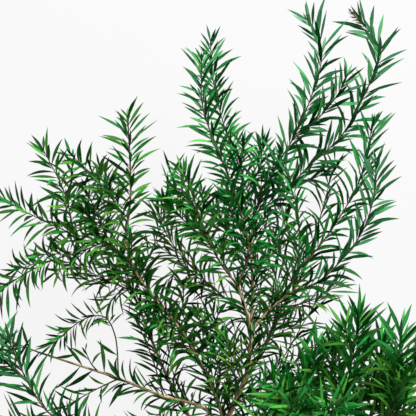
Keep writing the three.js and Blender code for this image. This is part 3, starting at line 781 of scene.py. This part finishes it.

# The kinds of foliage. Leaves are long and open on the outer shoots, shorter on the tall ones, and fine and
# close in the thick of the stem. They are sparser behind and low round the trunk, where they are also painted
# darker as shade, and long on the shoots nearest the viewer.
FOLIAGE = {
    "outer": foliage(29.0, 3.1, 1.95, bend=1.0, tilt=(38, 22), lost=0.5, tint=0.02, olive=-0.33),
    "right_inner": foliage(29.0, 2.8, 1.95, bend=1.0, tilt=(38, 22), lost=0.6, tint=0.04, olive=0.02),
    "tall": foliage(25.5, 2.7, 1.3, bend=1.2, tilt=(48, 26), lost=0.35, tint=0.07, olive=-0.03),
    "front": foliage(25.5, 2.7, 1.4, bend=1.2, tilt=(48, 26), lost=0.35, tint=0.08, olive=0.37),
    "upright": foliage(29.0, 3.0, 1.6, bend=1.6, tilt=(56, 26), lost=0.35, tint=0.08, olive=0.48),
    "inner": fine(1.9, tint=0.27, olive=0.75),
    "behind": fine(3.0, tint=0.27, olive=0.75),
    # Painted shade: the low tint darkens the leaves that lie low round the trunk.
    "low": fine(2.8, tint=-0.22, olive=0.2),
    "limbs": fine(2.2, tilt=(40, 20), tint=-0.04, olive=0.3),
    "near": foliage(34.0, 3.3, 1.4, bend=1.0, tilt=(42, 20), lost=0.25, tint=0.19, olive=0.28),
    "fan": foliage(37.0, 3.2, 1.5, bend=0.9, tilt=(68, 34), lost=0.2, tint=0.16, olive=0.34),
    "corner": foliage(34.0, 3.1, 1.85, bend=1.0, tilt=(46, 22), lost=0.25, tint=0.1, olive=-0.1),
    "sparse": foliage(23.5, 2.6, 3.6, bend=0.9, tilt=(46, 24), lost=0.4, tint=-0.05, olive=0.5),
    "drooping": foliage(21.0, 2.3, 1.25, bend=0.9, tilt=(56, 26), lost=0.15, tint=-0.1, olive=0.5),
}

# Painted shade: leaves are painted darkest below the first height and in their full colour above the second.
SHADED_HEIGHTS = (20.0 * MM, 56.0 * MM)

# Across the blade's map the upper face runs from 0 to UNDERSIDE, and the underside on to 1. RIB_HALF and
# MARGIN_FROM are measured from the midrib, and TIP_FROM is a share of the leaf's length.
MIDRIB = 0.25
UNDERSIDE = 0.5
RIB_HALF = 0.04
MARGIN_FROM = 0.15
TIP_FROM = 0.92
VEIN_TURNS = 90.0
MOTTLE_SCALE = 420.0
DEEP_GREEN = (0, 34, 3)
LEAF_GREEN = (0, 88, 22)
BRIGHT_GREEN = (40, 134, 54)
TURNING_GREEN = (74, 146, 44)
DEEP_OLIVE = (4, 40, 0)
OLIVE = (100, 142, 48)
DEEP_BLOOM_AND_SHEEN = (4, 52, 24)
BLOOM_AND_SHEEN = (92, 146, 116)
MIDRIB_GREEN = (64, 146, 70)
UNDER_GREEN = (16, 98, 36)
EDGE_SHADE_GREEN = (0, 40, 8)
SHADED_GREEN = (0, 22, 2)
DRY_TIP = (84, 60, 36)


def leaf_blade():
    """One leaf a unit long and a unit wide, to be stretched to size where it stands."""
    places, along, faces = [], [], []
    for part, half in LEAF_STATIONS[:-1]:
        rise = EDGE_RISE * half
        places += [(-half / 2, part, rise), (0, part, -0.5 * half), (half / 2, part, rise), (0, part, 0.2)]
        along += [part] * 4
    tip = len(places)
    places.append((0, 1, 0))
    along.append(1.0)
    last = tip - 4
    for start in range(0, last, 4):
        for side in range(4):
            here, beside = start + side, start + (side + 1) % 4
            faces.append((here, beside, beside + 4, here + 4))
    for side in range(4):
        faces.append((last + side, last + (side + 1) % 4, tip))
    faces.append((3, 2, 1, 0))
    mesh = bpy.data.meshes.new("leaf_blade")
    mesh.from_pydata(places, [], faces)
    mesh.attributes.new("along", "FLOAT", "POINT").data.foreach_set("value", along)
    layer = mesh.uv_layers.new(name="blade")
    across = (1.0, 0.75, 0.5, 0.25)
    for face in mesh.polygons:
        side = face.index % 4
        for corner in face.loop_indices:
            point = mesh.loops[corner].vertex_index
            value = across[side] - 0.125 if point == tip else across[point % 4]
            if side == 3 and point % 4 == 0 and point != tip:
                value = 0.0
            layer.data[corner].uv = (value, along[point])
    mesh.polygons.foreach_set("use_smooth", [True] * len(mesh.polygons))
    margin = mesh.attributes.new("sharp_edge", "BOOLEAN", "EDGE")
    for edge in mesh.edges:
        margin.data[edge.index].value = {v % 4 for v in edge.vertices if v != tip} in ({0}, {2})
    blade = new_object("leaf_blade", mesh)
    blade.hide_render = True
    return blade


def leaf_finish():
    """Leathery green, paler on the midrib and below, with painted shade low in the stem and at each leaf's
    base.
    The bloom on the outer leaves is partly painted sheen, the margins carry a painted dark edge, and a few
    leaves are turning.
    """
    material, tree, shader = new_material("tea tree leaf")
    blade_uv = split(add(tree, "ShaderNodeUVMap", uv_map="blade").outputs[0])
    tint = seen(tree, "leaf_tint")
    place = add(tree, "ShaderNodeTexCoord").outputs["Object"]
    mottle = noise(place, MOTTLE_SCALE)
    value = plus(tint, times_plus(mottle, 0.3, -0.15), use_clamp=True)
    steps = [(0.0, DEEP_GREEN), (0.4, LEAF_GREEN), (0.9, BRIGHT_GREEN), (1.0, TURNING_GREEN)]
    green = colour_steps(value, steps)
    olive = colour_steps(value, [(0.0, DEEP_OLIVE), (0.85, OLIVE)])
    # Bloom: a pale blue-grey coat, partly the leaf's own colour and partly painted sheen.
    bloom_and_sheen = colour_steps(value, [(0.0, DEEP_BLOOM_AND_SHEEN), (1.0, BLOOM_AND_SHEEN)])
    warmth = seen(tree, "leaf_olive")
    green = mixed(warmth, green, olive)
    green = mixed(times(warmth, -1.0), green, bloom_and_sheen)
    off_rib = sums("ABSOLUTE", minus(blade_uv[0], MIDRIB))
    rib = ranged(off_rib, 0.0, RIB_HALF, 0.4, 0.0)
    green = mixed(rib, green, paint(*MIDRIB_GREEN))
    under = times(more(blade_uv[0], UNDERSIDE), 0.3)
    green = mixed(under, green, paint(*UNDER_GREEN))
    # Painted shade: a dark edge along the margins of the upper face.
    margin = ranged(off_rib, MARGIN_FROM, MIDRIB, 0.0, 0.75)
    margin = times(margin, less(blade_uv[0], UNDERSIDE))
    green = mixed(margin, green, paint(*EDGE_SHADE_GREEN))
    dry = ranged(blade_uv[1], TIP_FROM, 1.0, 0.0, 0.5)
    green = mixed(dry, green, paint(*DRY_TIP))
    # Painted shade: deeper green low in the stem and at each leaf's base, where the crowded leaves shade one
    # another.
    low = ranged(split(place)[2], *SHADED_HEIGHTS, 0.75, 0.0)
    inner = sums("MAXIMUM", low, ranged(blade_uv[1], 0.0, 0.35, 0.7, 0.0))
    green = mixed(inner, green, paint(*SHADED_GREEN))
    shader.inputs["Specular IOR Level"].default_value = 0.012
    veins = sine(times(blade_uv[0], VEIN_TURNS))
    height = plus(veins, times(rib, -4.0))
    finish(tree, shader, green, mottle, height, (0.44, 0.32), distance=0.05 * MM, strength=0.3)
    return material


def bent(tree):
    """Where a leaf's points go when its straight middle line is bent into an arc."""
    root = read(tree, "leaf_root", "FLOAT_VECTOR")
    onward = read(tree, "leaf_onward", "FLOAT_VECTOR")
    outward = read(tree, "leaf_outward", "FLOAT_VECTOR")
    along, bend = read(tree, "along"), read(tree, "leaf_bend")
    straight = joined(root, scaled(onward, along))
    position = add(tree, "GeometryNodeInputPosition").outputs[0]
    turn = times(along, bend)
    wires = {
        "Vector": vectors("SUBTRACT", position, straight),
        "Axis": crossed(onward, outward),
        "Angle": turn,
    }
    across = link("ShaderNodeVectorRotate", wires)
    forth = divided(sine(turn), bend)
    aside = divided(minus(1.0, cosine(turn)), bend)
    arc = joined(scaled(onward, forth), scaled(outward, aside))
    return joined(joined(root, arc), across)


def leaf_rule(blade, material):
    """Leaves set along lines: each has its place in the spiral, its tilt, size, roll and arch."""
    sizes = {
        "Leaf": blade,
        "Leaf Length": 25.0 * MM,
        "Leaf Width": 3.2 * MM,
        "Leaf Depth": 0.5 * MM,
        "Leaf Spacing": 2.0 * MM,
        "Tilt at Base": math.radians(50),
        "Tilt at Tip": math.radians(20),
        "Tilt Spread": math.radians(22),
        "Roll Spread": math.radians(60),
        "Turned to Light": TURNED_TO_LIGHT,
        "Bend": 1.0,
        "Arch at Tip": 0.35,
        "Sweep": 0.9,
        "Lost at Tip": 0.3,
        "Crowded Length": 14.0 * MM,
        "Tint": 0.0,
        "Olive": 0.3,
        "Bloom and Sheen at Tip": 0.3,
        "Seed": 5,
        "Finish": material,
    }
    tree, given = new_rule("Leaves along the twigs", sizes)
    line = evenly(given["Lines"], given["Leaf Spacing"])
    by_chance = chance_in(tree, given["Seed"])

    def either_way(size, number):
        return times(size, by_chance(-0.5, 0.5, number))

    station = add(tree, "GeometryNodeSplineParameter").outputs
    whole = add(tree, "GeometryNodeSplineLength").outputs[0]
    forward, side, upright = sides_of(tree)
    turn = times(plus(station["Index"], read(tree, "seed")), GOLDEN_ANGLE)
    away = turned_away(side, upright, plus(turn, by_chance(*TURNS, 1)))
    start = minus(whole, given["Crowded Length"])
    crowded = ranged(station["Length"], start, whole, 0.0, 1.0)
    part = times(station["Factor"], 1 - CROWDED_SHARE)
    part = times_plus(crowded, CROWDED_SHARE, part)
    tilt = ranged(part, 0.0, 1.0, given["Tilt at Base"], given["Tilt at Tip"], "LINEAR")
    pointing = leaning(forward, away, plus(tilt, either_way(given["Tilt Spread"], 2)))
    sideways = crossed(forward, away)

    small = times(crowded, given["Lost at Tip"])
    size = minus(by_chance(*SIZES, 3), small)
    size = times(size, read(tree, "leaf_scale"))
    length = times(size, given["Leaf Length"])
    width = times(times_plus(size, 0.5, 0.5), given["Leaf Width"])
    width = times(width, by_chance(*WIDTHS, 4))
    outward = unit(crossed(sideways, pointing))
    outward = unit(joined(outward, scaled(sideways, either_way(given["Sweep"], 6))))
    arch = ranged(station["Factor"], OUTER_FROM, 1.0, 1.0, given["Arch at Tip"])
    bend = times(times(given["Bend"], arch), by_chance(*BENDS, 5))
    root = add(tree, "GeometryNodeInputPosition").outputs[0]
    line = kept(line, "leaf_root", root, "FLOAT_VECTOR")
    line = kept(line, "leaf_onward", scaled(pointing, length), "FLOAT_VECTOR")
    line = kept(line, "leaf_outward", scaled(outward, length), "FLOAT_VECTOR")
    line = kept(line, "leaf_bend", bend)
    line = kept(line, "leaf_tint", plus(by_chance(*TINTS, 7), given["Tint"]))
    olive = times(by_chance(*OLIVES, 9), given["Olive"])
    # Bloom towards a twig's outer end, partly painted sheen, is taken off the olive share.
    bloom_and_sheen = ranged(station["Factor"], OUTER_FROM, 1.0, 0.0, given["Bloom and Sheen at Tip"])
    line = kept(line, "leaf_olive", minus(olive, bloom_and_sheen))

    light = given["Turned to Light"]
    face = scaled(forward, minus(1.0, light))
    face = joined(face, placed(0.0, 0.0, light))
    roll = placed(0.0, either_way(given["Roll Spread"], 8), 0.0)
    roll = link("FunctionNodeEulerToRotation", {0: roll})
    wires = {0: facing(pointing, face), 1: roll}
    turned = link("FunctionNodeRotateRotation", wires, rotation_space="LOCAL")
    past_start = more(station["Length"], read(tree, "bare"))
    before_end = less(station["Length"], read(tree, "leafy_to"))
    wires = {
        "Points": line,
        "Selection": times(past_start, before_end),
        "Instance": link("GeometryNodeObjectInfo", {"Object": given["Leaf"]}, "Geometry"),
        "Rotation": turned,
        "Scale": placed(width, length, given["Leaf Depth"]),
    }
    leaves = link("GeometryNodeInstanceOnPoints", wires)
    leaves = link("GeometryNodeRealizeInstances", {"Geometry": leaves})
    leaves = moved(leaves, position=bent(tree))

    spot = split(add(tree, "GeometryNodeInputPosition").outputs[0])
    below = divided(minus(spot[2], SOFT_HEIGHT), SOFT_HEIGHT)
    eased = times(sums("EXPONENT", below), SOFT_HEIGHT)
    is_low = less(spot[2], SOFT_HEIGHT)
    leaves = moved(leaves, selection=is_low, position=placed(spot[0], spot[1], eased))
    finish_rule(leaves, given["Finish"])
    return tree


blade = leaf_blade()
leaf_material = leaf_finish()
leaf_spiral = leaf_rule(blade, leaf_material)
for spray, (kind, _, _) in SPRAYS.items():
    lines = spray_lines[spray]
    grow("leaves_" + spray, lines, leaf_spiral, "leaf", ["spray_" + spray], **FOLIAGE[kind])

# The leaves on the limbs
# More leaves and short leafy sprigs stand straight on the trunk, on the limbs and on the left upright shoot,
# among the sprays. The foot of the trunk and the outer part of the low left limb are bare.
# Each has the distances in millimetres, from its start, between which it is leafy.
LEAFY_LIMBS = {
    "trunk": (215, 320), "front_limb": (6, 45), "right_limb": (6, 55), "back_limb": (6, 120),
    "left_limb": (4, 100), "left_upright": (6, 110), "low_left_limb": (8, 104),
    "right_front_limb": (60, 140), "left_front_limb": (50, 90), "back_left_limb": (40, 170),
    "back_right_limb": (40, 140),
}
SPRIGGED_LIMBS = ("trunk", "front_limb", "right_limb", "back_limb", "right_front_limb")
STUB_LEAVES_FROM = 2
LONG_BARE_STUBS = ("low_left_rise", "low_left_sprig", "low_left_under")

leafy_lines = [
    {
        "line": limb_lines.get(name) or stretch(first_twig(name), 0.0, end * MM),
        "seed": 11 * k,
        "bare": start * MM,
        "leafy_to": end * MM,
        "sprigs_to": 1.0 if name in SPRIGGED_LIMBS else 0.0,
    }
    for k, (name, (start, end)) in enumerate(LEAFY_LIMBS.items())
]
leafy_lines += [
    {"line": line, "seed": 13 * k, "bare": STUB_LEAVES_FROM * MM}
    for k, (name, line) in enumerate(stubs.items())
    if name not in LONG_BARE_STUBS
]
bare_lines = lines_mesh("limb_lines", leafy_lines)
limb_sprigs = run_rule("limb_sprigs", bare_lines, sprig_arcs, {"without_lines": 1})
with_sprigs = run_rule("limbs_and_sprigs", bare_lines, sprig_arcs, {})
grow("twigs_on_limbs", limb_sprigs, wood, "bark", sides=TWIG_SIDES, ring_spacing=TWIG_RINGS)
grow("leaves_on_limbs", with_sprigs, leaf_spiral, "leaf", **FOLIAGE["limbs"])

# The lone leaves
# Large single leaves, left on the bare outer part of the low left limb and on the twig that rises from it.
# Each has its wood, its distance from that wood's start, where its tip points and its scale. Distances are in
# millimetres.
LONE_LEAVES = [
    ("low_left_limb", 97, (-82, 4, 50), 1.15),
    ("low_left_limb", 102.5, (-82, 46, 54), 0.8),
    ("low_left_limb", 115, (-82.6, 60, 56), 1.15),
    ("low_left_limb", 124.5, (-114, 19, 47), 1.15),
    ("low_left_limb", 133, (-114, 62, 57), 1.3),
    ("low_left_limb", 135, (-118, 19, 56), 1.1),
    ("low_left_limb", 157, (-106, 47, 58), 0.9),
    ("low_left_rise", 19, (-92, 58, 54), 1.0),
]
LONE_LENGTH = 27.0 * MM
LONE_WIDTH = 3.6 * MM

lone_lines = []
for k, (name, distance, tip, scale) in enumerate(LONE_LEAVES):
    root = stretch(limb_lines.get(name) or first_twig(name), distance * MM)[0][0]
    onward = ((Vector(tip) - MIDDLE) * MM - root).normalized() * MM
    line = [(root, 0.0, 0.0), (root + onward, MM, 0.0)]
    lone_lines.append({"line": line, "seed": 17 * k, "bare": -MM, "leafy_to": MM / 2, "leaf_scale": scale})
grow(
    "lone_leaves", lines_mesh("lone_leaves", lone_lines), leaf_spiral, "leaf",
    leaf_length=LONE_LENGTH, leaf_width=LONE_WIDTH, leaf_spacing=MM, tilt_at_base=0.0, tilt_at_tip=0.0,
    tilt_spread=0.0, lost_at_tip=0.0, bend=0.5, sweep=2.0, tint=-0.05, olive=0.2,
)

# The dried buds
# Small spent flower buds at the tips of the two highest shoots: brown, papery scales packed round the end
# of the twig.
# Each spray's bud has its length on the twig and the length of its scales, in millimetres.
BUDS = {"top_right": (14.0, 6.5), "top_middle": (4.0, 4.0)}
SCALE_BROWN = (150, 124, 70)
SCALE_DARK = (84, 58, 34)
FLECK_SCALE = 1500.0
SCALE_RIDGES = 60.0


def scale_finish():
    material, tree, shader = new_material("dried bud scale")
    blade_uv = split(add(tree, "ShaderNodeUVMap", uv_map="blade").outputs[0])
    tint = seen(tree, "leaf_tint")
    fleck = noise(add(tree, "ShaderNodeTexCoord").outputs["Object"], FLECK_SCALE)
    share = times(plus(tint, fleck), 0.5)
    colour = colour_steps(share, [(0.1, SCALE_DARK), (0.8, SCALE_BROWN)])
    height = sine(times(blade_uv[0], SCALE_RIDGES))
    finish(tree, shader, colour, fleck, height, (0.75, 0.9), distance=0.05 * MM, strength=0.4)
    return material


bud_material = scale_finish()
for spray, (length, scale_length) in BUDS.items():
    shoot = first_twig(spray)
    end = stretch(shoot, shoot[-1][1] - length * MM)
    grow(
        "bud_" + spray, lines_mesh("bud", [{"line": end, "seed": 1}]), leaf_spiral, "bark",
        leaf_length=scale_length * MM, leaf_width=1.7 * MM, leaf_depth=0.35 * MM, leaf_spacing=0.5 * MM,
        tilt_at_base=math.radians(52), tilt_at_tip=math.radians(24), crowded_length=2.0 * MM,
        turned_to_light=0.0, bend=0.3, finish=bud_material,
    )

# The surface, the light and the camera
# A plain pale floor that glows evenly, under soft studio light, seen from straight above as the photograph
# sees the stem from the front. The camera's height gives the photograph's scale at the stem's own height.
FRAME_WIDTH = 332.8 * MM
FRAME_MIDDLE = (Vector((0.0, 166.4, 0.0)) - MIDDLE) * MM
STEM_HEIGHT = 55.0 * MM
CAMERA_ABOVE = 1100.0 * MM
FLOOR_COLOUR = (50, 50, 50)
FLOOR_GLOW = 0.89
FLOOR_HALF = 14.0
FLOOR_GRAIN = 30.0

# Softboxes stand round the stem: the way each lies, in degrees from +X towards +Y, and its power in watts.
SOFTBOXES = {"key": (60, 74.0), "left": (150, 8.0), "foot_left": (235, 2.5), "foot_right": (320, 7.0)}
SOFTBOX_OUT = 1.5
SOFTBOX_UP = 0.8
SOFTBOX_SIZE = 0.9
AIM = Vector((0.0, 0.08, 0.05))
SKY_COLOUR = (0.95, 0.97, 1.0, 1.0)
SKY_STRENGTH = 0.05


def floor():
    mesh = bpy.data.meshes.new("floor")
    corners = [(x * FLOOR_HALF, y * FLOOR_HALF, 0.0) for x, y in ((-1, -1), (1, -1), (1, 1), (-1, 1))]
    mesh.from_pydata(corners, [], [(0, 1, 2, 3)])
    material, tree, shader = new_material("pale floor")
    grain = noise(add(tree, "ShaderNodeTexCoord").outputs["Object"], FLOOR_GRAIN)
    shader.inputs["Base Color"].default_value = paint(*FLOOR_COLOUR)
    shader.inputs["Specular IOR Level"].default_value = 0.1
    shader.inputs["Emission Color"].default_value = (1.0, 1.0, 1.0, 1.0)
    shader.inputs["Emission Strength"].default_value = FLOOR_GLOW
    tree.links.new(ranged(grain, *GRAIN_SPAN, 0.8, 0.9), shader.inputs["Roughness"])
    mesh.materials.append(material)
    new_object("floor", mesh)


def softbox(name, way, power):
    lamp = bpy.data.lights.new(name, "AREA")
    lamp.shape = "DISK"
    lamp.size = SOFTBOX_SIZE
    lamp.energy = power
    holder = new_object(name, lamp)
    turn = math.radians(way)
    holder.location = (SOFTBOX_OUT * math.cos(turn), SOFTBOX_OUT * math.sin(turn), SOFTBOX_UP)
    holder.rotation_euler = (AIM - holder.location).to_track_quat("-Z", "Y").to_euler()


floor()
for name, (way, power) in SOFTBOXES.items():
    softbox(name, way, power)
world = bpy.data.worlds.new("studio")
world.use_nodes = True
world.node_tree.nodes["Background"].inputs["Color"].default_value = SKY_COLOUR
world.node_tree.nodes["Background"].inputs["Strength"].default_value = SKY_STRENGTH
bpy.context.scene.world = world
bpy.context.scene.view_settings.view_transform = "Standard"

camera = new_object("camera", bpy.data.cameras.new("camera"))
camera.data.angle = 2 * math.atan(FRAME_WIDTH / 2 / CAMERA_ABOVE)
camera.location = (*FRAME_MIDDLE.xy, STEM_HEIGHT + CAMERA_ABOVE)
bpy.context.scene.camera = camera

bpy.data.objects.remove(blade)
